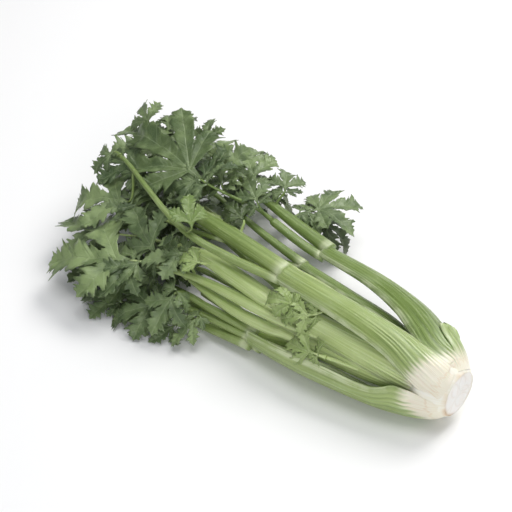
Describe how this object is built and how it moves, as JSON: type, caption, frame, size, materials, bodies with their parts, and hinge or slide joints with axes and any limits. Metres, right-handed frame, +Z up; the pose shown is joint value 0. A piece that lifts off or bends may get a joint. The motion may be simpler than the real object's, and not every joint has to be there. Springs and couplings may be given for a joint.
{
  "type": "head of celery",
  "caption": "Fresh head of celery lying on its side: cut white crown, clasping ribbed channelled stalks, jointed branches and toothed leaves.",
  "frame": {"origin": "bottom centre of the bounding box, on the surface the head lies on", "axes": "+X runs along the head from the leaves towards the cut root face; +Y is the side of the darker outer back stalk; +Z is up from the surface"},
  "size_m": [0.4126, 0.2386, 0.1045],
  "materials": {
    "crown": "moist white root crown, satin",
    "stalk": "moist mid-green stalk, satin",
    "stalk_outer": "darker green outer stalk, satin",
    "stalk_young": "pale yellow-green inner stalk, satin",
    "leaf": "grey-green leaf, soft satin",
    "leaf_young": "bright young leaf, soft satin"
  },
  "bodies": {
    "root": {"crown": "crown", "stalk_top": "stalk", "stalk_back": "stalk_outer", "stalk_front": "stalk", "stalk_under": "stalk", "stalk_inner_front": "stalk_young", "stalk_inner_back": "stalk", "stalk_inner_edge": "stalk_young", "stalk_heart": "stalk_young", "sheath_stub": "stalk_outer", "leaf_01": "leaf", "leaf_02": "leaf", "leaf_03": "leaf", "leaf_04": "leaf", "leaf_05": "leaf", "leaf_06": "leaf", "leaf_07": "leaf", "leaf_08": "leaf", "leaf_09": "leaf", "leaf_10": "leaf", "leaf_11": "leaf", "leaf_12": "leaf", "leaf_13": "leaf", "leaf_14": "leaf", "leaf_15": "leaf", "leaf_16": "leaf", "leaf_17": "leaf", "leaf_18": "leaf", "leaf_19": "leaf_young", "leaf_20": "leaf", "leaf_21": "leaf", "leaf_22": "leaf", "leaf_23": "leaf", "leaf_24": "leaf", "leaf_25": "leaf", "leaf_26": "leaf", "leaf_27": "leaf", "leaf_28": "leaf", "leaf_29": "leaf_young", "leaf_30": "leaf_young", "leaf_31": "leaf_young", "leaf_32": "leaf_young", "leaf_33": "leaf", "leaf_34": "leaf", "leaf_35": "leaf", "leaf_36": "leaf", "leaf_37": "leaf", "leaf_38": "leaf", "leaf_39": "leaf", "leaf_40": "leaf", "leaf_41": "leaf", "leaf_42": "leaf", "leaf_43": "leaf", "leaf_44": "leaf", "leaf_45": "leaf", "leaf_46": "leaf", "leaf_47": "leaf", "leaf_48": "leaf", "leaf_49": "leaf", "leaf_50": "leaf"}
  },
  "joints": []
}
